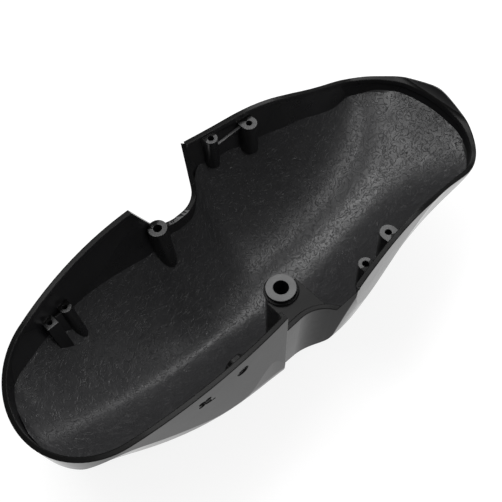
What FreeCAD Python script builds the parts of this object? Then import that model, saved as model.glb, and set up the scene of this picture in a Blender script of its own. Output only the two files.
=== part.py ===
import FreeCAD, Part
import math
import os
import Sketcher

# Motorcycle front mudguard, one moulding, lying crown down.
# Origin under the middle of the crown, +X towards the front lobe, +Y the far side, +Z up.

doc = FreeCAD.newDocument("mudguard")
V = FreeCAD.Vector

SIZES = {
    # height of the rim plane above the lowest point of the crown
    "rim_height": 170.0,
    "top_margin": 10.0,
    # crown line seen from the side: one arc, cut flat by a little at its lowest place
    "crown_line_radius": 434.0,
    "crown_line_x": 7.0,
    "rest_flat": 2.0,
    # wall and rim bead
    "wall": 3.0,
    "bead_width": 5.2,
    "bead_depth": 4.5,
    # plan outline at rim height
    "nose_tip_x": 291.0,
    "nose_radius": 230.0,
    "nose_corner_radius": 72.0,
    "nose_corner_y": 100.6,
    "front_side_radius": 1000.0,
    "front_corner_x": 12.0,
    "front_corner_y": 119.5,
    "neck_y": 90.0,
    "neck_blend_radius": 33.0,
    "neck_blend_x": -25.0,
    "neck_start_x": -35.0,
    "far_wing_x": -77.0,
    "far_wing_y": 95.5,
    "near_wing_x": -52.0,
    "near_wing_y": 94.0,
    "tail_tip_x": -287.0,
    "tail_radius": 83.0,
    "rear_side_radius": 560.0,
    # how far the outline draws in at the level of the crown
    "nose_draw": 29.0,
    "front_draw": 29.0,
    "corner_draw": 14.0,
    "return_draw": 2.0,
    "neck_draw": 16.0,
    "far_wing_draw": 22.0,
    "near_wing_draw": 6.0,
    "tail_draw": 24.0,
    # rim seen from the side
    "tail_rim_radius": 640.0,
    "tail_rim_x": -79.0,
    "nose_rim_start_x": 66.0,
    "nose_rim_bend_radius": 170.0,
    "nose_rim_low_x": 261.0,
    "nose_rim_low_drop": 60.0,
    "nose_rim_low_radius": 95.0,
    "nose_rim_tip_radius": 23.6,
    # fork cut-outs
    "notch_drop": 50.0,
    "notch_front_x": 15.5,
    "notch_inner_y": 103.0,
    "notch_outer_y": 119.5,
    "far_notch_radius": 32.0,
    "far_notch_slope": 64.0,
    "near_notch_radius": 9.0,
    "near_notch_slope": 88.0,
    # tall boss on the far side of the neck
    "boss1_x": -60.0,
    "boss1_y": 78.0,
    "boss1_drop": 32.0,
    "boss1_top_radius": 9.8,
    "boss1_base_radius": 11.6,
    "boss1_length": 110.0,
    "boss1_lean": 3.0,
    "boss1_lean_turn": -57.0,
    "boss1_hole_radius": 4.45,
    "boss1_hole_depth": 30.0,
    # large boss on the near side of the neck
    "boss2_x": -17.0,
    "boss2_y": -50.0,
    "boss2_drop": 45.0,
    "boss2_top_radius": 15.2,
    "boss2_base_radius": 16.6,
    "boss2_length": 124.0,
    "boss2_hole_radius": 7.7,
    "boss2_hole_depth": 40.0,
    "shelf_drop": 51.5,
    "shelf_width": 39.0,
    "shelf_depth": 4.0,
    "shelf_lip": 2.0,
    # lugs of the rear lobe
    "rear_lug_drop": 36.0,
    "rear_lug1_x": -197.0,
    "rear_lug1_y": 73.0,
    "rear_lug1_width": 12.0,
    "rear_lug2_x": -177.0,
    "rear_lug2_y": 76.0,
    "rear_lug2_width": 12.0,
    "rear_lug_depth": 11.0,
    "rear_lug_lean": 12.0,
    "rear_lug_hole_radius": 2.5,
    "rear_rib_width": 2.4,
    # lugs of the front lobe, on both sides
    "front_lug1_x": 39.0,
    "front_lug1_y": 104.5,
    "front_lug1_width": 14.0,
    "front_lug1_drop": 3.0,
    "front_lug2_x": 83.0,
    "front_lug2_y": 94.7,
    "front_lug2_width": 17.0,
    "front_lug2_drop": 9.0,
    "front_lug_length": 42.0,
    "front_lug_hole_radius": 3.25,
    "lug_hole_depth": 18.0,
    "front_rib_width": 3.0,
    "front_rib_drop": 12.0,
    # clover-shaped hole and slots through the near wing
    "clover_x": -151.0,
    "clover_drop": 28.0,
    "clover_core_radius": 4.2,
    "clover_lobe_radius": 3.4,
    "clover_lobe_reach": 4.8,
    "slot_length": 7.0,
    "slot_height": 2.6,
    "slot_x": -143.5,
    "slot_drop": 34.0,
    # round recess in the outside of the near wing, backed by a pad inside
    "recess_x": -109.0,
    "recess_drop": 22.0,
    "recess_radius": 6.5,
    "recess_floor_y": 92.6,
    "recess_pad_radius": 10.0,
    "recess_pad_y": 82.0,
    "recess_slot_length": 6.0,
    "recess_slot_height": 2.0,
}

# cross-sections of the trough: place, then half width at rim height, side slope,
# shoulder radius and crown radius of the outside, then the same four of the inside
STATIONS = {
    "tail": (-288.0, 72.0, 35.0, 41.0, 75.0, 66.0, 35.0, 36.0, 68.0),
    "rear_end": (-264.0, 78.5, 28.0, 45.0, 80.0, 73.5, 28.0, 41.0, 74.0),
    "rear": (-238.0, 83.0, 22.0, 49.0, 86.0, 78.0, 22.0, 45.0, 80.0),
    "mid_rear": (-198.0, 95.0, 17.0, 50.0, 100.0, 95.5, 23.0, 57.0, 80.0),
    "waist": (-108.0, 101.0, 7.0, 54.0, 120.0, 98.4, 17.0, 69.0, 85.0),
    "neck": (-48.0, 99.0, 4.5, 52.0, 140.0, 99.0, 16.0, 67.0, 86.0),
    "throat": (12.0, 121.0, 10.5, 72.0, 160.0, 117.5, 11.0, 69.0, 150.0),
    "mid_front": (102.0, 111.5, 12.5, 66.0, 140.0, 108.2, 14.0, 68.0, 110.0),
    "front": (202.0, 104.0, 14.0, 44.0, 170.0, 101.0, 15.0, 41.0, 165.0),
    "nose": (252.0, 100.0, 14.0, 32.0, 240.0, 97.0, 14.0, 29.0, 237.0),
    "nose_end": (302.0, 96.0, 16.0, 26.0, 260.0, 93.0, 16.0, 23.0, 257.0),
}
STATION_COLUMNS = (
    "x",
    "outer_width", "outer_slope", "outer_shoulder", "outer_crown",
    "inner_width", "inner_slope", "inner_shoulder", "inner_crown",
)
for station, row in STATIONS.items():
    for column, value in zip(STATION_COLUMNS, row):
        SIZES[f"{station}_{column}"] = value

sizes = doc.addObject("Spreadsheet::Sheet", "Sizes")
for row, (word, value) in enumerate(SIZES.items(), start=1):
    sizes.set(f"A{row}", word)
    sizes.set(f"B{row}", str(value))
    sizes.setAlias(f"B{row}", word)
doc.recompute()


def sized(text):
    """Write the size names in an expression as cells of the sheet."""
    words = []
    word = ""
    for letter in text + " ":
        if letter.isalnum() or letter == "_":
            word += letter
            continue
        words.append(f"Sizes.{word}" if word in SIZES else word)
        words.append(letter)
        word = ""
    return "".join(words).strip()


def value_of(text):
    """Value of an expression of sizes."""
    return float(sizes.evalExpression(sized(text)))


def bind(thing, name, text):
    """Tie one property to an expression of sizes."""
    thing.setExpression(name, sized(text))


def dimension(sketch, kind, places, text):
    """Add a dimension to a sketch and tie it to an expression of sizes."""
    number = value_of(text)
    if kind == "Angle":
        number = math.radians(number)
    index = sketch.addConstraint(Sketcher.Constraint(kind, *places, number))
    if kind == "Angle":
        text = f"({text}) * 1 deg"
    sketch.setExpression(f"Constraints[{index}]", sized(text))


def solved(sketch):
    """Stop when a sketch does not solve to one shape."""
    doc.recompute()
    if sketch.solve() != 0:
        raise RuntimeError(f"sketch {sketch.Name} does not solve")
    return sketch


ORIGIN = -1
X_AXIS = -1
Y_AXIS = -2
START = 1
END = 2
CENTRE = 3


def arc_through(first, middle, last):
    """Arc through three points of a sketch."""
    return Part.Arc(V(*first, 0), V(*middle, 0), V(*last, 0))


def line(first, last):
    """Line between two points of a sketch."""
    return Part.LineSegment(V(*first, 0), V(*last, 0))


def trough_section(station, layer, lift):
    """Closed section across the trough: two sides, two shoulders and the crown."""
    sketch = doc.addObject("Sketcher::SketchObject", f"{station}_{layer}")
    form = f"{station}_{layer}"
    crown_line = ("crown_line_radius - rest_flat"
                  f" - sqrt(crown_line_radius ^ 2 - ({station}_x - crown_line_x) ^ 2)")
    sketch.Placement = FreeCAD.Placement(V(0, 0, 0), FreeCAD.Rotation(V(1, 1, 1), 120))
    bind(sketch, "Placement.Base.x", f"{station}_x")
    width = SIZES[f"{form}_width"]
    slope = math.radians(SIZES[f"{form}_slope"])
    shoulder = SIZES[f"{form}_shoulder"]
    crown = SIZES[f"{form}_crown"]
    rim = SIZES["rim_height"]
    centre = value_of(f"{crown_line} + {lift}") + crown
    normal = (math.cos(slope), -math.sin(slope))
    down = (-math.sin(slope), -math.cos(slope))
    # shoulder centre: one shoulder radius inside the side line, and inside the crown arc
    offset = width * math.cos(slope) - shoulder
    gap_across = offset - (centre - rim) * normal[1]
    run = (centre - rim) * down[1] + math.sqrt((crown - shoulder) ** 2 - gap_across ** 2)
    mid_y = offset * normal[0] + run * down[0]
    mid_z = rim + offset * normal[1] + run * down[1]
    side_end = (mid_y + shoulder * normal[0], mid_z + shoulder * normal[1])
    reach = math.hypot(mid_y, mid_z - centre)
    crown_end = (mid_y * crown / reach, centre + (mid_z - centre) * crown / reach)
    bisect = math.atan2(side_end[1] - mid_z + crown_end[1] - mid_z,
                        side_end[0] - mid_y + crown_end[0] - mid_y)
    shoulder_mid = (mid_y + shoulder * math.cos(bisect), mid_z + shoulder * math.sin(bisect))
    top = rim + 3 * SIZES["top_margin"]
    side_top = (width + (top - rim) * math.tan(slope), top)

    def mirrored(point):
        return (-point[0], point[1])

    left_top, left_end = mirrored(side_top), mirrored(side_end)
    sketch.addGeometry([
        line(left_top, left_end),
        arc_through(left_end, mirrored(shoulder_mid), mirrored(crown_end)),
        arc_through(mirrored(crown_end), (0, centre - crown), crown_end),
        arc_through(crown_end, shoulder_mid, side_end),
        line(side_end, side_top),
        line(side_top, left_top),
    ])
    add = sketch.addConstraint
    add(Sketcher.Constraint("Tangent", 0, END, 1, START))
    add(Sketcher.Constraint("Tangent", 1, END, 2, START))
    add(Sketcher.Constraint("Tangent", 2, END, 3, START))
    add(Sketcher.Constraint("Tangent", 3, END, 4, START))
    add(Sketcher.Constraint("Coincident", 4, END, 5, START))
    add(Sketcher.Constraint("Coincident", 5, END, 0, START))
    add(Sketcher.Constraint("Symmetric", 5, START, 5, END, Y_AXIS))
    add(Sketcher.Constraint("Symmetric", 0, END, 4, START, Y_AXIS))
    add(Sketcher.Constraint("PointOnObject", 2, CENTRE, Y_AXIS))
    dimension(sketch, "Radius", (3,), f"{form}_shoulder")
    dimension(sketch, "Radius", (2,), f"{form}_crown")
    dimension(sketch, "Angle", (4,), f"90 - {form}_slope")
    dimension(sketch, "DistanceY", (ORIGIN, START, 4, END), "rim_height + 3 * top_margin")
    dimension(sketch, "DistanceX", (ORIGIN, START, 4, END),
              f"{form}_width + 3 * top_margin * tan({form}_slope)")
    dimension(sketch, "DistanceY", (ORIGIN, START, 2, CENTRE),
              f"{crown_line} + {lift} + {form}_crown")
    return solved(sketch)


def place(sketch, curve, end, x_text=None, y_text=None):
    """Dimension one end of a curve from the origin of the sketch."""
    for kind, text in (("DistanceX", x_text), ("DistanceY", y_text)):
        if text is None:
            continue
        if value_of(text) < 0:
            dimension(sketch, kind, (curve, end, ORIGIN, START), f"-({text})")
        else:
            dimension(sketch, kind, (ORIGIN, START, curve, end), text)


def plan_outline(name, height, share):
    """Outline of the whole mudguard in plan, drawn in by a share of the draws."""
    sketch = doc.addObject("Sketcher::SketchObject", name)
    bind(sketch, "Placement.Base.z", height)
    nose_x = f"nose_tip_x - nose_draw * {share}"
    nose_radius = f"nose_radius - nose_draw * {share}"
    nose_corner = f"nose_corner_radius - front_draw * {share}"
    nose_corner_y = f"nose_corner_y - front_draw * {share}"
    corner_x = f"front_corner_x + return_draw * {share}"
    corner_y = f"front_corner_y - corner_draw * {share}"
    neck_y = f"neck_y - neck_draw * {share}"
    far_wing_y = f"far_wing_y - far_wing_draw * {share}"
    near_wing_y = f"near_wing_y - near_wing_draw * {share}"
    tail_radius = f"tail_radius - tail_draw * {share}"
    tail_x = f"tail_tip_x + tail_draw * {share}"

    # starting places of the curves, close to where the dimensions put them
    tip = (value_of(nose_x), 0)
    corner = (value_of(corner_x), value_of(corner_y))
    nose_r = value_of(nose_radius)
    corner_r = value_of(nose_corner)
    end_y = value_of(nose_corner_y)
    turn_y = end_y - corner_r
    turn_x = tip[0] - nose_r + math.sqrt((nose_r - corner_r) ** 2 - turn_y ** 2)
    swing = math.atan2(turn_y, turn_x - tip[0] + nose_r)
    side_end = (turn_x, end_y)
    bow = ((corner[0] + turn_x) / 2, (corner[1] + end_y) / 2 - 3.4)
    nose_end = (turn_x + corner_r * math.cos(swing), turn_y + corner_r * math.sin(swing))
    nose_mid = (turn_x + 0.7 * corner_r, turn_y + 0.7 * corner_r)
    blend_radius = SIZES["neck_blend_radius"]
    blend_x = SIZES["neck_blend_x"]
    neck = value_of(neck_y)
    blend_start = (blend_x, neck)
    blend_mid = (blend_x + 0.7 * blend_radius, neck + 0.3 * blend_radius)
    blend_end = (blend_x + 0.98 * blend_radius, neck + 0.8 * blend_radius)
    neck_start = (SIZES["neck_start_x"], neck)
    far_wing = (SIZES["far_wing_x"], value_of(far_wing_y))
    near_wing = (SIZES["near_wing_x"], -value_of(near_wing_y))
    near_step = (near_wing[0] + 1, -neck)
    tail_r = value_of(tail_radius)
    tail_centre = value_of(tail_x) + tail_r
    tail_far = (tail_centre - 0.1 * tail_r, 0.99 * tail_r)
    tail_tip = (tail_centre - tail_r, 0)
    far_bow = ((far_wing[0] + tail_far[0]) / 2, (far_wing[1] + tail_far[1]) / 2 + 2.6)
    near_bow = ((near_wing[0] + tail_far[0]) / 2, (near_wing[1] - tail_far[1]) / 2 - 2.6)

    def near(point):
        return (point[0], -point[1])

    sketch.addGeometry([
        arc_through(near(nose_end), tip, nose_end),
        arc_through(nose_end, nose_mid, side_end),
        arc_through(corner, bow, side_end),
        line(corner, blend_end),
        arc_through(blend_start, blend_mid, blend_end),
        line(blend_start, neck_start),
        line(neck_start, far_wing),
        arc_through(far_wing, far_bow, tail_far),
        arc_through(tail_far, tail_tip, near(tail_far)),
        arc_through(near(tail_far), near_bow, near_wing),
        line(near_wing, near_step),
        line(near_step, near(blend_start)),
        arc_through(near(blend_end), near(blend_mid), near(blend_start)),
        line(near(blend_end), near(corner)),
        arc_through(near(side_end), near(bow), near(corner)),
        arc_through(near(side_end), near(nose_mid), near(nose_end)),
    ])
    joins = (
        ("Tangent", 0, END, 1, START),
        ("Tangent", 1, END, 2, END),
        ("Coincident", 2, START, 3, START),
        ("Tangent", 3, END, 4, END),
        ("Tangent", 4, START, 5, START),
        ("Coincident", 5, END, 6, START),
        ("Coincident", 6, END, 7, START),
        ("Tangent", 7, END, 8, START),
        ("Tangent", 8, END, 9, START),
        ("Coincident", 9, END, 10, START),
        ("Coincident", 10, END, 11, START),
        ("Tangent", 11, END, 12, END),
        ("Tangent", 12, START, 13, START),
        ("Coincident", 13, END, 14, END),
        ("Tangent", 14, START, 15, START),
        ("Tangent", 15, END, 0, START),
        ("PointOnObject", 0, CENTRE, X_AXIS),
        ("PointOnObject", 8, CENTRE, X_AXIS),
        ("Horizontal", 5),
        ("Horizontal", 11),
    )
    for join in joins:
        sketch.addConstraint(Sketcher.Constraint(*join))
    radii = (
        (0, nose_radius),
        (1, nose_corner),
        (15, nose_corner),
        (2, "front_side_radius"),
        (14, "front_side_radius"),
        (4, "neck_blend_radius"),
        (12, "neck_blend_radius"),
        (7, "rear_side_radius"),
        (9, "rear_side_radius"),
        (8, tail_radius),
    )
    for curve, radius in radii:
        dimension(sketch, "Radius", (curve,), radius)
    place(sketch, 0, CENTRE, "nose_tip_x - nose_radius")
    place(sketch, 8, CENTRE, "tail_tip_x + tail_radius")
    place(sketch, 1, END, None, nose_corner_y)
    place(sketch, 15, START, None, f"-({nose_corner_y})")
    place(sketch, 3, START, corner_x, corner_y)
    place(sketch, 13, END, corner_x, f"-({corner_y})")
    place(sketch, 4, CENTRE, "neck_blend_x")
    place(sketch, 12, CENTRE, "neck_blend_x")
    place(sketch, 5, END, "neck_start_x", neck_y)
    place(sketch, 6, END, "far_wing_x", far_wing_y)
    place(sketch, 9, END, "near_wing_x", f"-({near_wing_y})")
    place(sketch, 10, END, "near_wing_x + 1", f"-({neck_y})")
    return solved(sketch)


def inset_of(source, name, amount):
    """Outline or section moved inwards by an amount."""
    inset = doc.addObject("Part::Offset2D", name)
    inset.Source = source
    inset.Join = "Intersection"
    bind(inset, "Value", f"-({amount})")
    return inset


def loft_of(name, outlines, ruled=False):
    """Solid between closed outlines."""
    loft = doc.addObject("Part::Loft", name)
    loft.Sections = outlines
    loft.Solid = True
    loft.Ruled = ruled
    doc.recompute()
    return loft


def side_sketch(name):
    """Empty sketch in the middle plane, x to the front and y up."""
    sketch = doc.addObject("Sketcher::SketchObject", name)
    sketch.Placement = FreeCAD.Placement(V(0, 0, 0), FreeCAD.Rotation(V(1, 0, 0), 90))
    return sketch


def extruded(name, sketch, direction, forward, backward="0"):
    """Solid swept from a sketch both ways along a direction."""
    solid = doc.addObject("Part::Extrusion", name)
    solid.Base = sketch
    solid.DirMode = "Custom"
    solid.Dir = V(*direction)
    solid.Solid = True
    bind(solid, "LengthFwd", forward)
    bind(solid, "LengthRev", backward)
    return solid


def combined(kind, name, parts):
    """Fusion or common of several solids."""
    result = doc.addObject(f"Part::Multi{kind}", name)
    result.Shapes = parts
    return result


def cut_away(name, base, tool):
    """One solid less another."""
    result = doc.addObject("Part::Cut", name)
    result.Base = base
    result.Tool = tool
    return result


def placed(solid, x_text, y_text, z_text):
    """Place a primitive by expressions."""
    bind(solid, "Placement.Base.x", x_text)
    bind(solid, "Placement.Base.y", y_text)
    bind(solid, "Placement.Base.z", z_text)
    return solid


def box(name, corner, spans):
    """Box from its lowest corner and its three spans."""
    solid = doc.addObject("Part::Box", name)
    for side, text in zip(("Length", "Width", "Height"), spans):
        bind(solid, side, text)
    return placed(solid, *corner)


def pin(name, foot, radius, height):
    """Upright cylinder from the middle of its foot."""
    solid = doc.addObject("Part::Cylinder", name)
    bind(solid, "Radius", radius)
    bind(solid, "Height", height)
    return placed(solid, *foot)


# main shell
outer_trough = loft_of("outer_trough", [
    trough_section(station, "outer", "0") for station in STATIONS
])
inner_trough = loft_of("inner_trough", [
    trough_section(station, "inner", "wall + rest_flat") for station in STATIONS
])
top_outline = plan_outline("top_outline", "rim_height + top_margin", "(-top_margin / rim_height)")
base_outline = plan_outline("base_outline", "0", "1")
outer_block = loft_of("outer_block", [base_outline, top_outline], True)
inner_block = loft_of("inner_block", [
    inset_of(base_outline, "base_inset", "wall"),
    inset_of(top_outline, "top_inset", "wall"),
], True)
bead_block = loft_of("bead_block", [
    inset_of(base_outline, "base_bead", "bead_width"),
    inset_of(top_outline, "top_bead", "bead_width"),
], True)
outer_form = combined("Common", "outer_form", [outer_block, outer_trough])
inner_form = combined("Common", "inner_form", [inner_block, inner_trough])


def cross_pin(name, x, z, radius, start_y, depth):
    """Round pin through the near side, from a distance off the middle outwards."""
    thing = doc.addObject("Part::Cylinder", name)
    thing.Placement.Rotation = FreeCAD.Rotation(V(1, 0, 0), 90)
    bind(thing, "Radius", radius)
    bind(thing, "Height", depth)
    placed(thing, x, f"-({start_y})", z)
    return thing


def rim_profile():
    """Everything above the rim as seen from the side."""
    sketch = side_sketch("rim_profile")
    rim = SIZES["rim_height"]
    high = rim + 3 * SIZES["top_margin"]
    tail_r = SIZES["tail_rim_radius"]
    tail_x = SIZES["tail_rim_x"]
    bend_r = SIZES["nose_rim_bend_radius"]
    bend_x = SIZES["nose_rim_start_x"]
    low_x = SIZES["nose_rim_low_x"]
    low_z = rim - SIZES["nose_rim_low_drop"]
    low_r = SIZES["nose_rim_low_radius"]
    tip_r = SIZES["nose_rim_tip_radius"]
    left = SIZES["tail_tip_x"] - SIZES["top_margin"]
    right = SIZES["nose_tip_x"] + SIZES["top_margin"]

    def on_tail(x):
        return (x, rim - tail_r + math.sqrt(tail_r ** 2 - (x - tail_x) ** 2))

    # slope of the line that touches both bends from opposite sides
    run = (low_x - bend_x, low_z + low_r - rim + bend_r)
    tilt = math.asin((bend_r + low_r) / math.hypot(*run)) - math.atan2(run[1], run[0])
    bend_end = (bend_x + bend_r * math.sin(tilt), rim - bend_r + bend_r * math.cos(tilt))
    bend_mid = (bend_x + bend_r * math.sin(tilt / 2), rim - bend_r + bend_r * math.cos(tilt / 2))
    low_start = (low_x - low_r * math.sin(tilt), low_z + low_r - low_r * math.cos(tilt))
    low_mid = (low_x - low_r * math.sin(tilt / 2), low_z + low_r - low_r * math.cos(tilt / 2))
    low = (low_x, low_z)
    rise = math.radians(75)
    rise_mid = (low_x + tip_r * math.sin(rise / 2), low_z + tip_r * (1 - math.cos(rise / 2)))
    rise_end = (low_x + tip_r * math.sin(rise), low_z + tip_r * (1 - math.cos(rise)))
    sketch.addGeometry([
        line((left, high), on_tail(left)),
        arc_through(on_tail(left), on_tail((left + tail_x) / 2), (tail_x, rim)),
        line((tail_x, rim), (bend_x, rim)),
        arc_through((bend_x, rim), bend_mid, bend_end),
        line(bend_end, low_start),
        arc_through(low_start, low_mid, low),
        arc_through(low, rise_mid, rise_end),
        line(rise_end, (right, rise_end[1] + 4)),
        line((right, rise_end[1] + 4), (right, high)),
        line((right, high), (left, high)),
    ])
    joins = (
        ("Coincident", 0, END, 1, END),
        ("Tangent", 1, START, 2, START),
        ("Tangent", 2, END, 3, END),
        ("Tangent", 3, START, 4, START),
        ("Tangent", 4, END, 5, START),
        ("Tangent", 5, END, 6, START),
        ("Coincident", 6, END, 7, START),
        ("Coincident", 7, END, 8, START),
        ("Coincident", 8, END, 9, START),
        ("Coincident", 9, END, 0, START),
        ("Vertical", 0),
        ("Horizontal", 2),
        ("Vertical", 8),
        ("Horizontal", 9),
    )
    for join in joins:
        sketch.addConstraint(Sketcher.Constraint(*join))
    radii = (
        (1, "tail_rim_radius"),
        (3, "nose_rim_bend_radius"),
        (5, "nose_rim_low_radius"),
        (6, "nose_rim_tip_radius"),
    )
    for curve, radius in radii:
        dimension(sketch, "Radius", (curve,), radius)
    place(sketch, 0, START, "tail_tip_x - top_margin", "rim_height + 3 * top_margin")
    place(sketch, 2, START, "tail_rim_x", "rim_height")
    place(sketch, 2, END, "nose_rim_start_x")
    place(sketch, 5, END, "nose_rim_low_x", "rim_height - nose_rim_low_drop")
    place(sketch, 6, END, "nose_rim_low_x + nose_rim_tip_radius * sin(75)")
    place(sketch, 7, END, "nose_tip_x + top_margin",
          "rim_height - nose_rim_low_drop + nose_rim_tip_radius * (1 - cos(75)) + 4")
    return solved(sketch)


def notch_profile(name, wing_x, radius, slope):
    """Fork cut-out seen from the side: wing end, rounded corner and floor."""
    sketch = side_sketch(name)
    high = SIZES["rim_height"] + 3 * SIZES["top_margin"]
    low = SIZES["rim_height"] - SIZES["notch_drop"]
    size = value_of(radius)
    lean = math.radians(value_of(slope))
    right = SIZES["notch_front_x"]
    foot = value_of(wing_x) + SIZES["notch_drop"] / math.tan(lean)
    bend_x = foot + size * math.tan(lean / 2)
    turn_start = (bend_x - size * math.sin(lean), low + size * (1 - math.cos(lean)))
    turn_mid = (bend_x - size * math.sin(lean / 2), low + size * (1 - math.cos(lean / 2)))
    top = (value_of(wing_x) - 3 * SIZES["top_margin"] / math.tan(lean), high)
    sketch.addGeometry([
        line(top, turn_start),
        arc_through(turn_start, turn_mid, (bend_x, low)),
        line((bend_x, low), (right, low)),
        line((right, low), (right, high)),
        line((right, high), top),
    ])
    joins = (
        ("Tangent", 0, END, 1, START),
        ("Tangent", 1, END, 2, START),
        ("Coincident", 2, END, 3, START),
        ("Coincident", 3, END, 4, START),
        ("Coincident", 4, END, 0, START),
        ("Horizontal", 2),
        ("Vertical", 3),
        ("Horizontal", 4),
    )
    for join in joins:
        sketch.addConstraint(Sketcher.Constraint(*join))
    dimension(sketch, "Radius", (1,), radius)
    dimension(sketch, "Angle", (0,), f"0 - {slope}")
    place(sketch, 4, END, f"{wing_x} - 3 * top_margin / tan({slope})",
          "rim_height + 3 * top_margin")
    place(sketch, 2, END, "notch_front_x", "rim_height - notch_drop")
    return solved(sketch)


def notch_flank():
    """Fork cut-out seen along the mudguard: its slanted outer side."""
    sketch = doc.addObject("Sketcher::SketchObject", "notch_flank")
    sketch.Placement = FreeCAD.Placement(V(0, 0, 0), FreeCAD.Rotation(V(1, 1, 1), 120))
    bind(sketch, "Placement.Base.x", "notch_front_x")
    low = SIZES["rim_height"] - SIZES["notch_drop"]
    lean = (SIZES["notch_outer_y"] - SIZES["notch_inner_y"]) / SIZES["notch_drop"]
    deep = low - SIZES["top_margin"]
    high = SIZES["rim_height"] + 3 * SIZES["top_margin"]
    inner = SIZES["neck_y"] / 2
    outer_low = (SIZES["notch_inner_y"] - SIZES["top_margin"] * lean, deep)
    outer_high = (SIZES["notch_outer_y"] + 3 * SIZES["top_margin"] * lean, high)
    sketch.addGeometry([
        line((inner, deep), outer_low),
        line(outer_low, outer_high),
        line(outer_high, (inner, high)),
        line((inner, high), (inner, deep)),
    ])
    joins = (
        ("Coincident", 0, END, 1, START),
        ("Coincident", 1, END, 2, START),
        ("Coincident", 2, END, 3, START),
        ("Coincident", 3, END, 0, START),
    )
    for join in joins:
        sketch.addConstraint(Sketcher.Constraint(*join))
    slant = "(notch_outer_y - notch_inner_y) / notch_drop"
    place(sketch, 0, START, "neck_y / 2", "rim_height - notch_drop - top_margin")
    place(sketch, 0, END, f"notch_inner_y - top_margin * {slant}",
          "rim_height - notch_drop - top_margin")
    place(sketch, 2, START, f"notch_outer_y + 3 * top_margin * {slant}",
          "rim_height + 3 * top_margin")
    place(sketch, 2, END, "neck_y / 2", "rim_height + 3 * top_margin")
    return solved(sketch)


above_rim = extruded("above_rim", rim_profile(), (0, 1, 0), "2 * front_corner_y",
                     "2 * front_corner_y")
flank_run = "notch_front_x - far_wing_x + 3 * top_margin"
far_flank = extruded("far_flank", notch_flank(), (-1, 0, 0), flank_run)
near_flank = doc.addObject("Part::Mirroring", "near_flank")
near_flank.Source = far_flank
near_flank.Normal = V(0, 1, 0)
far_opening = extruded(
    "far_opening",
    notch_profile("far_notch", "far_wing_x", "far_notch_radius", "far_notch_slope"),
    (0, 1, 0), "2 * front_corner_y")
near_opening = extruded(
    "near_opening",
    notch_profile("near_notch", "near_wing_x", "near_notch_radius", "near_notch_slope"),
    (0, -1, 0), "2 * front_corner_y")
rim_cut = combined("Fuse", "rim_cut", [
    above_rim,
    combined("Common", "far_cut_out", [far_flank, far_opening]),
    combined("Common", "near_cut_out", [near_flank, near_opening]),
])
bead_zone = doc.addObject("Part::Compound", "bead_zone")
bead_zone.Links = [rim_cut]
bind(bead_zone, "Placement.Base.z", "-bead_depth")
cavity = combined("Fuse", "cavity", [
    cut_away("deep_cavity", inner_form, bead_zone),
    combined("Common", "rim_cavity", [inner_form, bead_block]),
])
form = cut_away("form", outer_form, rim_cut)
shell = cut_away("shell", form, cavity)

# bosses of the neck
boss1 = doc.addObject("Part::Cone", "boss1")
bind(boss1, "Radius1", "boss1_base_radius")
bind(boss1, "Radius2", "boss1_top_radius")
bind(boss1, "Height", "boss1_length")
turn = math.radians(SIZES["boss1_lean_turn"])
boss1.Placement.Rotation = FreeCAD.Rotation(V(math.sin(turn), -math.cos(turn), 0),
                                            SIZES["boss1_lean"])
bind(boss1, "Placement.Rotation.Angle", "boss1_lean")
placed(boss1,
       "boss1_x + boss1_length * sin(boss1_lean) * cos(boss1_lean_turn)",
       "boss1_y + boss1_length * sin(boss1_lean) * sin(boss1_lean_turn)",
       "rim_height - boss1_drop - boss1_length * cos(boss1_lean)")
boss2 = doc.addObject("Part::Cone", "boss2")
bind(boss2, "Radius1", "boss2_base_radius")
bind(boss2, "Radius2", "boss2_top_radius")
bind(boss2, "Height", "boss2_length")
placed(boss2, "boss2_x", "boss2_y", "rim_height - boss2_drop - boss2_length")
boss2_lip = pin("boss2_lip", ("boss2_x", "boss2_y", "rim_height - shelf_drop"),
                "boss2_top_radius + shelf_lip", "shelf_lip")
shelf_reach = "neck_y + boss2_y"
shelf_back = "boss2_x - shelf_width / 2"
shelf = box("shelf", (shelf_back, "-neck_y", "rim_height - shelf_drop - shelf_depth"),
            ("shelf_width", shelf_reach, "shelf_depth"))
web_height = "rim_height - shelf_drop"
shelf_web1 = box("shelf_web1", (shelf_back, "-neck_y", "0"), ("wall", shelf_reach, web_height))
shelf_web2 = box("shelf_web2", ("boss2_x + shelf_width / 2 - wall", "-neck_y", "0"),
                 ("wall", shelf_reach, web_height))

# lugs of the rear lobe, leaning with the wall
REAR_LEAN = math.radians(SIZES["rear_lug_lean"])
REAR_SWAY = 0.06
REAR_DOWN = (REAR_SWAY, -math.sin(REAR_LEAN), -math.cos(REAR_LEAN))


def flat_sketch(name, height):
    """Empty sketch on a level."""
    sketch = doc.addObject("Sketcher::SketchObject", name)
    bind(sketch, "Placement.Base.z", height)
    return sketch


def square_pad(name, x_text, y_text, width, depth, height):
    """Square lug face with its middle at a place."""
    sketch = flat_sketch(name, height)
    x, y = value_of(x_text), value_of(y_text)
    half_x, half_y = value_of(width) / 2, value_of(depth) / 2
    corners = [(x - half_x, y - half_y), (x + half_x, y - half_y),
               (x + half_x, y + half_y), (x - half_x, y + half_y)]
    sketch.addGeometry([line(corners[i], corners[(i + 1) % 4]) for i in range(4)])
    for i in range(4):
        sketch.addConstraint(Sketcher.Constraint("Coincident", i, END, (i + 1) % 4, START))
    for i, kind in enumerate(("Horizontal", "Vertical", "Horizontal", "Vertical")):
        sketch.addConstraint(Sketcher.Constraint(kind, i))
    place(sketch, 0, START, f"{x_text} - ({width}) / 2", f"{y_text} - ({depth}) / 2")
    place(sketch, 1, END, f"{x_text} + ({width}) / 2", f"{y_text} + ({depth}) / 2")
    return solved(sketch)


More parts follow.
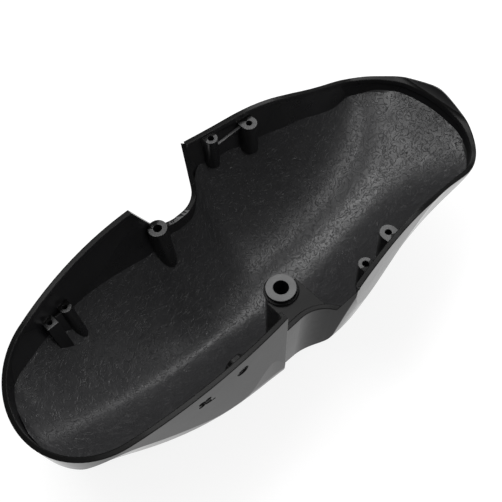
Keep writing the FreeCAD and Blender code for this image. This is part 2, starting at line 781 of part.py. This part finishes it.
def round_pad(name, x_text, y_text, width, back, height):
    """Lug face with a half-round inner end, reaching back to the wall."""
    sketch = flat_sketch(name, height)
    x, y = value_of(x_text), value_of(y_text)
    radius = value_of(width) / 2
    rear = value_of(back)
    sketch.addGeometry([
        arc_through((x - radius, y), (x, y - radius), (x + radius, y)),
        line((x + radius, y), (x + radius, rear)),
        line((x + radius, rear), (x - radius, rear)),
        line((x - radius, rear), (x - radius, y)),
    ])
    joins = (
        ("Tangent", 0, END, 1, START),
        ("Coincident", 1, END, 2, START),
        ("Coincident", 2, END, 3, START),
        ("Tangent", 3, END, 0, START),
        ("Vertical", 1),
        ("Horizontal", 2),
    )
    for join in joins:
        sketch.addConstraint(Sketcher.Constraint(*join))
    dimension(sketch, "Radius", (0,), f"{width} / 2")
    place(sketch, 0, CENTRE, x_text, y_text)
    place(sketch, 2, START, None, back)
    return solved(sketch)


rear_top = "rim_height - rear_lug_drop"
rear_lug1 = extruded("rear_lug1", square_pad(
    "rear_face1", "rear_lug1_x", "rear_lug1_y", "rear_lug1_width", "rear_lug_depth", rear_top),
    REAR_DOWN, "rim_height")
rear_lug2 = extruded("rear_lug2", round_pad(
    "rear_face2", "rear_lug2_x", "rear_lug2_y", "rear_lug2_width",
    "rear_lug2_y + rear_lug_depth / 2", rear_top),
    REAR_DOWN, "rim_height")
rear_rib = extruded("rear_rib", square_pad(
    "rear_rib_face", "(rear_lug1_x + rear_lug2_x) / 2", "rear_lug2_y",
    "rear_lug2_x - rear_lug1_x", "rear_rib_width", f"{rear_top} - rear_rib_width"),
    REAR_DOWN, "rim_height")

# lugs of the front lobe, far side first and then mirrored
front_lugs = []
for number in ("1", "2"):
    lug = f"front_lug{number}"
    face = round_pad(f"front_face{number}", f"{lug}_x", f"{lug}_y", f"{lug}_width",
                     "front_corner_y + top_margin", f"rim_height - {lug}_drop")
    front_lugs.append(extruded(lug, face, (0, 0, -1), "front_lug_length"))
far_lugs = combined("Fuse", "far_lugs", front_lugs)
near_lugs = doc.addObject("Part::Mirroring", "near_lugs")
near_lugs.Source = far_lugs
near_lugs.Normal = V(0, 1, 0)
front_rib = box("front_rib",
                ("front_lug1_x", "front_lug1_y - 2 * front_rib_width",
                 "rim_height - front_rib_drop - front_rib_width"),
                ("front_lug2_x - front_lug1_x", "front_rib_width", "front_rib_width"))

recess_pad = cross_pin("recess_pad", "recess_x", "rim_height - recess_drop",
                       "recess_pad_radius", "recess_pad_y", "recess_floor_y - recess_pad_y")
fittings = combined("Fuse", "fittings", [
    boss1, boss2, boss2_lip, shelf, shelf_web1, shelf_web2,
    rear_lug1, rear_lug2, rear_rib, far_lugs, near_lugs, front_rib, recess_pad,
])
fittings_inside = combined("Common", "fittings_inside", [fittings, outer_form])
moulding = combined("Fuse", "moulding", [shell, fittings_inside])

# screw holes
boss1_hole = pin("boss1_hole", ("boss1_x", "boss1_y", "rim_height - boss1_drop - boss1_hole_depth"),
                 "boss1_hole_radius", "boss1_hole_depth + top_margin")
boss2_hole = pin("boss2_hole", ("boss2_x", "boss2_y", "rim_height - boss2_drop - boss2_hole_depth"),
                 "boss2_hole_radius", "boss2_hole_depth + top_margin")
holes = [boss1_hole, boss2_hole]
for number in ("1", "2"):
    lug = f"rear_lug{number}"
    holes.append(pin(f"{lug}_hole", (f"{lug}_x", f"{lug}_y", f"{rear_top} - lug_hole_depth"),
                     "rear_lug_hole_radius", "lug_hole_depth + top_margin"))
    lug = f"front_lug{number}"
    for side, sign in (("far", ""), ("near", "-")):
        holes.append(pin(f"{lug}_{side}_hole",
                         (f"{lug}_x", f"{sign}{lug}_y", f"rim_height - {lug}_drop - lug_hole_depth"),
                         "front_lug_hole_radius", "lug_hole_depth + top_margin"))

# clover hole and slots through the near wing
CLOVER_LOBES = 4
clover_z = "rim_height - clover_drop"
clover = [cross_pin("clover_core", "clover_x", clover_z, "clover_core_radius",
                    "near_wing_y / 2", "near_wing_y / 2")]
for lobe in range(CLOVER_LOBES):
    angle = 45 + lobe * 360 / CLOVER_LOBES
    clover.append(cross_pin(
        f"clover_lobe{lobe + 1}", f"clover_x + clover_lobe_reach * cos({angle})",
        f"{clover_z} + clover_lobe_reach * sin({angle})", "clover_lobe_radius",
        "near_wing_y / 2", "near_wing_y / 2"))
recess = cross_pin("recess", "recess_x", "rim_height - recess_drop", "recess_radius",
                   "recess_floor_y", "top_margin")
recess_slot = box("recess_slot", (
    "recess_x - recess_slot_length / 2", "-near_wing_y - wall",
    "rim_height - recess_drop - recess_radius / 2"),
    ("recess_slot_length", "near_wing_y / 2", "recess_slot_height"))
slot = box("clover_slot", ("slot_x - slot_length / 2", "-near_wing_y - wall",
                           "rim_height - slot_drop - slot_height / 2"),
           ("slot_length", "near_wing_y / 2", "slot_height"))
openings = combined("Fuse", "openings", holes + clover + [slot, recess, recess_slot])
mudguard = cut_away("mudguard_shell", moulding, openings)
doc.recompute()

for thing in doc.Objects:
    if "Invalid" in thing.State or "Error" in thing.State:
        raise RuntimeError(f"{thing.Name} is in state {thing.State}")
    if hasattr(thing, "Shape") and (thing.Shape.isNull() or not thing.Shape.isValid()):
        raise RuntimeError(f"{thing.Name} has no valid shape")
if len(mudguard.Shape.Solids) != 1:
    raise RuntimeError("the mudguard is not one solid")

mudguard.Label = "mudguard_shell"
os.makedirs("parts", exist_ok=True)
mudguard.Shape.exportStep("parts/mudguard_shell.step")
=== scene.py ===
import math

import bpy
from mathutils import Matrix, Vector


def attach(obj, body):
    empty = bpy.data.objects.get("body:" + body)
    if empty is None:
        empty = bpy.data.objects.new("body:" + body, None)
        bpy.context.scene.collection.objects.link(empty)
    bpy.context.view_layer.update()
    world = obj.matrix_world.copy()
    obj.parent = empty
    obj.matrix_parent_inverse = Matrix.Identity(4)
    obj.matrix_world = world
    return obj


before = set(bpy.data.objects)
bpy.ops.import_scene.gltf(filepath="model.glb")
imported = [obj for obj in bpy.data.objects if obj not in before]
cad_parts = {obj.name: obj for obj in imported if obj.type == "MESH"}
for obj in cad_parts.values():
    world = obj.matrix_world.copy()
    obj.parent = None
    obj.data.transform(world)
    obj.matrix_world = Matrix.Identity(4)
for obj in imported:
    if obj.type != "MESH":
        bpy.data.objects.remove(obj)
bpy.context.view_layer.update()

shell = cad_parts["mudguard_shell"]

# node helpers


def material(name):
    """New node material: itself, its tree and its main shader."""
    made = bpy.data.materials.new(name)
    made.use_nodes = True
    return made, made.node_tree, made.node_tree.nodes["Principled BSDF"]


def node(tree, kind, **values):
    """New node with its input values set by name."""
    made = tree.nodes.new(kind)
    for key, value in values.items():
        made.inputs[key].default_value = value
    return made


def noise(tree, scale, detail=3.0, rough=0.5, warp=0.0):
    """Grey noise in object space, so that it keeps its real size."""
    place = tree.nodes.new("ShaderNodeTexCoord")
    made = node(tree, "ShaderNodeTexNoise", Scale=scale, Detail=detail,
                Roughness=rough, Distortion=warp)
    tree.links.new(place.outputs["Object"], made.inputs["Vector"])
    return made.outputs["Fac"]


def ranged(tree, source, low, high, bottom=0.3, top=0.7):
    """Map a grey value from bottom and top to low and high."""
    made = node(tree, "ShaderNodeMapRange")
    made.inputs["From Min"].default_value = bottom
    made.inputs["From Max"].default_value = top
    made.inputs["To Min"].default_value = low
    made.inputs["To Max"].default_value = high
    tree.links.new(source, made.inputs["Value"])
    return made.outputs["Result"]


def threads(tree, source, middle=0.5, half=0.035):
    """Thin lines where a grey value passes its middle."""
    away = tree.nodes.new("ShaderNodeMath")
    away.operation = "SUBTRACT"
    away.inputs[1].default_value = middle
    tree.links.new(source, away.inputs[0])
    size = tree.nodes.new("ShaderNodeMath")
    size.operation = "ABSOLUTE"
    tree.links.new(away.outputs["Value"], size.inputs[0])
    return ranged(tree, size.outputs["Value"], 1.0, 0.0, 0.0, half)


def tint(tree, shader, factor, dark, light):
    """Base colour between two colours."""
    mix = tree.nodes.new("ShaderNodeMix")
    mix.data_type = "RGBA"
    mix.inputs["A"].default_value = (*dark, 1)
    mix.inputs["B"].default_value = (*light, 1)
    tree.links.new(factor, mix.inputs["Factor"])
    tree.links.new(mix.outputs["Result"], shader.inputs["Base Color"])


def roughen(tree, shader, source, low, high):
    """Roughness that follows a grey value."""
    tree.links.new(ranged(tree, source, low, high), shader.inputs["Roughness"])


def bump(tree, shader, layers, edge=0.0008):
    """Rounded edges, then a chain of bumps: (height, strength, depth in metres)."""
    last = tree.nodes.new("ShaderNodeBevel")
    last.samples = 6
    last.inputs["Radius"].default_value = edge
    for height, strength, depth in layers:
        made = node(tree, "ShaderNodeBump", Strength=strength, Distance=depth)
        tree.links.new(height, made.inputs["Height"])
        tree.links.new(last.outputs["Normal"], made.inputs["Normal"])
        last = made
    tree.links.new(last.outputs["Normal"], shader.inputs["Normal"])


# finishes

def gloss_black():
    """Polished outside of the moulding."""
    made, tree, shader = material("gloss_black")
    tint(tree, shader, noise(tree, 9, 2), (0.004, 0.004, 0.004), (0.007, 0.007, 0.008))
    roughen(tree, shader, noise(tree, 40, 4), 0.10, 0.16)
    shader.inputs["IOR"].default_value = 1.16
    bump(tree, shader, [(noise(tree, 25, 2), 0.12, 0.0004)])
    return made


def grained_black():
    """Inner floor: matt, with swirls and threads of flow, fine grain and small specks."""
    made, tree, shader = material("grained_black")
    swirl = noise(tree, 62, 2, 0.5, 1.6)
    flow = threads(tree, noise(tree, 95, 1.5, 0.5, 2.4))
    grain = noise(tree, 900, 2)
    specks = ranged(tree, noise(tree, 260, 1), 0.0, 1.0, 0.70, 0.76)
    tint(tree, shader, noise(tree, 14, 3), (0.013, 0.013, 0.014), (0.020, 0.020, 0.021))
    roughen(tree, shader, swirl, 0.36, 0.46)
    shader.inputs["IOR"].default_value = 1.52
    bump(tree, shader, [
        (swirl, 0.45, 0.0010),
        (flow, 0.75, 0.0004),
        (grain, 0.30, 0.00025),
        (specks, 0.35, 0.0003),
    ])
    return made


def rim_painted_shade():
    """Top of the rim bead and of the shelf: smooth, between rounded edges, with its
    reflection turned almost off as painted shade, so that these up-facing faces render
    dark.
    """
    made, tree, shader = material("rim_painted_shade")
    tint(tree, shader, noise(tree, 30, 3), (0.003, 0.003, 0.003), (0.006, 0.006, 0.006))
    roughen(tree, shader, noise(tree, 50, 3), 0.14, 0.24)
    # painted shade: reflection turned almost off, so the up-facing rim tops render dark in
    # place of the shading of a rounded bead
    shader.inputs["Specular IOR Level"].default_value = 0.07
    bump(tree, shader, [(noise(tree, 40, 2), 0.10, 0.0004)], edge=0.0016)
    return made


def satin_black():
    """Inner walls, lugs and bosses: between gloss and matt."""
    made, tree, shader = material("satin_black")
    tint(tree, shader, noise(tree, 20, 3), (0.004, 0.004, 0.004), (0.008, 0.008, 0.009))
    roughen(tree, shader, noise(tree, 60, 3), 0.26, 0.36)
    shader.inputs["IOR"].default_value = 1.5
    bump(tree, shader, [
        (noise(tree, 45, 3, 0.5, 1.0), 0.12, 0.0005),
        (noise(tree, 700, 2), 0.15, 0.00015),
    ])
    return made


def studio_paper():
    """Pale floor that glows a little, so that it stays near white."""
    made, tree, shader = material("studio_paper")
    tint(tree, shader, noise(tree, 6, 2), (0.22, 0.22, 0.22), (0.24, 0.24, 0.24))
    shader.inputs["Roughness"].default_value = 0.9
    shader.inputs["Specular IOR Level"].default_value = 0.1
    shader.inputs["Emission Color"].default_value = (1, 1, 1, 1)
    shader.inputs["Emission Strength"].default_value = 0.82
    return made


# which face of the moulding takes which finish

FINISHES = (gloss_black, satin_black, rim_painted_shade)
OUTSIDE, WALL, RIM = range(3)

# places in metres; a slope is the part of a face's normal that points up or outward
RIM_TOP = 0.17
RIM_FOOT = 0.105
RIM_SLOPE = 0.7
FACES_DOWN = -0.05
FACES_OUT = 0.35
REAR_LUGS_X = (-0.21, -0.165)
REAR_LUGS_Y = (0.06, 0.075)
WAIST_X = (-0.075, 0.015)
WAIST_RIM_Y = 0.083
BOSS_TOP = 0.14
SHELF_TOP = 0.1225
FRONT_LUGS_X = (0.026, 0.098)
FRONT_LUGS_Y = 0.107
FRONT_LUGS_TAPER = 0.12


def inside(value, limits):
    """Whether a value lies between two limits."""
    return limits[0] < value < limits[1]


def on_rim(x, y, z, normal):
    """Whether a place lies on top of the rim bead or shelf, and not on a lug or boss."""
    if normal.z < RIM_SLOPE or z < RIM_FOOT:
        return False
    if inside(x, REAR_LUGS_X) and inside(y, REAR_LUGS_Y):
        return False
    if inside(x, WAIST_X) and z < BOSS_TOP:
        return abs(y) > WAIST_RIM_Y or (y < 0 and z < SHELF_TOP)
    if inside(x, FRONT_LUGS_X):
        return abs(y) > FRONT_LUGS_Y - FRONT_LUGS_TAPER * (x - FRONT_LUGS_X[0])
    return True


def zone(face):
    """Finish of one face, as its place in FINISHES."""
    x, y, z = face.center
    normal = face.normal
    outward = normal.y * (1 if y > 0 else -1)
    if normal.z < FACES_DOWN and z < RIM_TOP:
        return OUTSIDE
    if outward > FACES_OUT:
        return OUTSIDE
    # up-facing rim tops take the rim finish, whose reflection is turned almost off as
    # painted shade
    if on_rim(x, y, z, normal):
        return RIM
    return WALL


shell.data.materials.clear()
for finish in FINISHES:
    shell.data.materials.append(finish())
for face in shell.data.polygons:
    face.material_index = zone(face)

# lining of the trough: the grained floor, which meets the walls at a crease

# sections along the mudguard, as measured in the photo, in metres:
# place, half width at the crease, height of the crease, height of the middle
SECTIONS = (
    (-0.274, 0.0120, 0.111, 0.1095),
    (-0.270, 0.0275, 0.115, 0.1050),
    (-0.262, 0.0445, 0.121, 0.0985),
    (-0.246, 0.0585, 0.125, 0.0865),
    (-0.223, 0.0670, 0.123, 0.0715),
    (-0.199, 0.0745, 0.119, 0.0570),
    (-0.167, 0.0820, 0.117, 0.0400),
    (-0.134, 0.0838, 0.115, 0.0275),
    (-0.077, 0.0805, 0.109, 0.0120),
    (-0.030, 0.0820, 0.104, 0.0060),
    (-0.006, 0.0870, 0.106, 0.0050),
    (0.012, 0.1080, 0.122, 0.0050),
    (0.022, 0.1120, 0.132, 0.0050),
    (0.061, 0.1050, 0.130, 0.0075),
    (0.100, 0.0985, 0.125, 0.0145),
    (0.152, 0.0885, 0.117, 0.0300),
    (0.201, 0.0828, 0.097, 0.0505),
    (0.241, 0.0770, 0.090, 0.0733),
    (0.262, 0.0600, 0.092, 0.0882),
    (0.272, 0.0400, 0.097, 0.0960),
    (0.277, 0.0200, 0.100, 0.0997),
)
PLACE, WIDTH, CREASE, MIDDLE = range(4)
ROWS = 150
COLUMNS = 64
SMOOTHING = 2
# power by which the floor rises from its middle to the crease, behind and before the waist
REAR_RISE = 1.75
FRONT_RISE = 2.3
RISE_TURN = -0.07
RISE_TURN_LENGTH = 0.09
# places where the screw lugs hide the wall
LUG_SPANS = ((0.026, 0.054), (0.068, 0.098))
PROBE_START = 0.03
WALL_BITE = 0.0003
NEAR_WALL = 0.006
NEAR_FRONT_WALL = 0.014
FRONT_WALL_START = 0.1


def along(x, column):
    """One column of the sections at a place, in straight runs between its rows."""
    for left, right in zip(SECTIONS, SECTIONS[1:]):
        if x <= right[PLACE]:
            share = max(0.0, (x - left[PLACE]) / (right[PLACE] - left[PLACE]))
            return left[column] + share * (right[column] - left[column])
    return SECTIONS[-1][column]


def half_width(x, height):
    """Half width of the lining: out to a wall that is near, or else as measured."""
    width = along(x, WIDTH)
    if any(first <= x <= last for first, last in LUG_SPANS):
        return width
    found = []
    for side in (1, -1):
        hit, place, _, _ = shell.ray_cast((x, side * PROBE_START, height), (0, side, 0))
        if hit:
            found.append(abs(place.y))
    reach = NEAR_FRONT_WALL if x > FRONT_WALL_START else NEAR_WALL
    if found and abs(max(found) - width) < reach:
        return max(found) + WALL_BITE
    return width


def smoothed(values):
    """Running mean, taken a few times, that keeps both ends."""
    for _ in range(SMOOTHING):
        means = [(a + 2 * b + c) / 4 for a, b, c in zip(values, values[1:], values[2:])]
        values = [values[0]] + means + [values[-1]]
    return values


def lining_rows():
    """Places of the rows along the lining, closer together at both ends."""
    first = SECTIONS[0][PLACE]
    last = SECTIONS[-1][PLACE]
    angles = [math.pi * row / ROWS for row in range(ROWS + 1)]
    return [first + (last - first) * (1 - math.cos(angle)) / 2 for angle in angles]


def lining_points():
    """Points of the lining, row by row."""
    places = lining_rows()
    creases = smoothed([along(x, CREASE) for x in places])
    widths = smoothed([half_width(x, crease) for x, crease in zip(places, creases)])
    middles = smoothed([along(x, MIDDLE) for x in places])
    points = []
    for x, width, crease, middle in zip(places, widths, creases, middles):
        front = min(1.0, max(0.0, (x - RISE_TURN) / RISE_TURN_LENGTH))
        rise = REAR_RISE + (FRONT_RISE - REAR_RISE) * front
        for column in range(COLUMNS + 1):
            share = 2 * column / COLUMNS - 1
            height = middle + (crease - middle) * abs(share) ** rise
            points.append((x, share * width, height))
    return points


def lining():
    """Smooth grid of the trough floor."""
    step = COLUMNS + 1
    faces = []
    for row in range(ROWS):
        for column in range(COLUMNS):
            corner = row * step + column
            faces.append((corner, corner + step, corner + step + 1, corner + 1))
    mesh = bpy.data.meshes.new("trough_lining")
    mesh.from_pydata(lining_points(), [], faces)
    mesh.shade_smooth()
    made = bpy.data.objects.new("trough_lining", mesh)
    bpy.context.collection.objects.link(made)
    return made


liner = lining()
liner.data.materials.append(grained_black())
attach(liner, "root")

# floor and light

FLOOR_SPAN = 12
SKY_STRENGTH = 0.2
CENTRE = (0, 0, 0.05)
UNDER_STRIP = (0.38, 0.10, 0.05)
# place, what it is aimed at, width and depth, power in watts
LAMPS = {
    "front_lamp": ((0.25, -0.95, 1.26), CENTRE, (1.0, 0.6), 9),
    "strip_lamp": ((0.38, 0.50, 1.32), UNDER_STRIP, (1.8, 0.5), 15),
    "top_lamp": ((-0.34, 0.34, 1.50), CENTRE, (0.9, 0.9), 6),
    "back_lamp": ((1.45, 0.75, 0.98), CENTRE, (0.8, 0.7), 8),
}


def lamp(name, place, aim, span, power):
    """Soft rectangular lamp aimed at a point."""
    light = bpy.data.lights.new(name, "AREA")
    light.shape = "RECTANGLE"
    light.size, light.size_y = span
    light.energy = power
    made = bpy.data.objects.new(name, light)
    bpy.context.collection.objects.link(made)
    made.location = place
    made.rotation_euler = (Vector(aim) - Vector(place)).to_track_quat("-Z", "Y").to_euler()


bpy.ops.mesh.primitive_plane_add(size=FLOOR_SPAN, location=(0, 0, 0))
floor = bpy.context.object
floor.name = "studio_floor"
floor.data.materials.append(studio_paper())

world = bpy.data.worlds.new("studio_world")
bpy.context.scene.world = world
world.use_nodes = True
sky = world.node_tree.nodes["Background"]
sky.inputs["Color"].default_value = (1, 1, 1, 1)
sky.inputs["Strength"].default_value = SKY_STRENGTH

for name, (place, aim, span, power) in LAMPS.items():
    lamp(name, place, aim, span, power)

# camera, fitted to the rim and bosses in the photo

AZIMUTH = math.radians(-45.5)
ELEVATION = math.radians(57.5)
CAMERA_PLACE = Vector((-0.3119, -0.3452, 0.8824))
FOCAL_LENGTH = 64.54
SENSOR_WIDTH = 36
SHIFT_X = -0.0677
SHIFT_Y = -0.0418
NEAR_CLIP = 0.01


def camera_turn():
    """Rotation of the camera, from its azimuth and elevation."""
    back = Vector((math.sin(AZIMUTH) * math.cos(ELEVATION),
                   -math.cos(AZIMUTH) * math.cos(ELEVATION),
                   math.sin(ELEVATION)))
    right = Vector((math.cos(AZIMUTH), math.sin(AZIMUTH), 0))
    up = back.cross(right)
    return Matrix((right, up, back)).transposed().to_4x4()


lens = bpy.data.cameras.new("photo_camera")
lens.sensor_width = SENSOR_WIDTH
lens.lens = FOCAL_LENGTH
lens.shift_x = SHIFT_X
lens.shift_y = SHIFT_Y
lens.clip_start = NEAR_CLIP
camera = bpy.data.objects.new("photo_camera", lens)
bpy.context.collection.objects.link(camera)
camera.matrix_world = Matrix.Translation(CAMERA_PLACE) @ camera_turn()
bpy.context.scene.camera = camera
bpy.context.scene.view_settings.view_transform = "Standard"
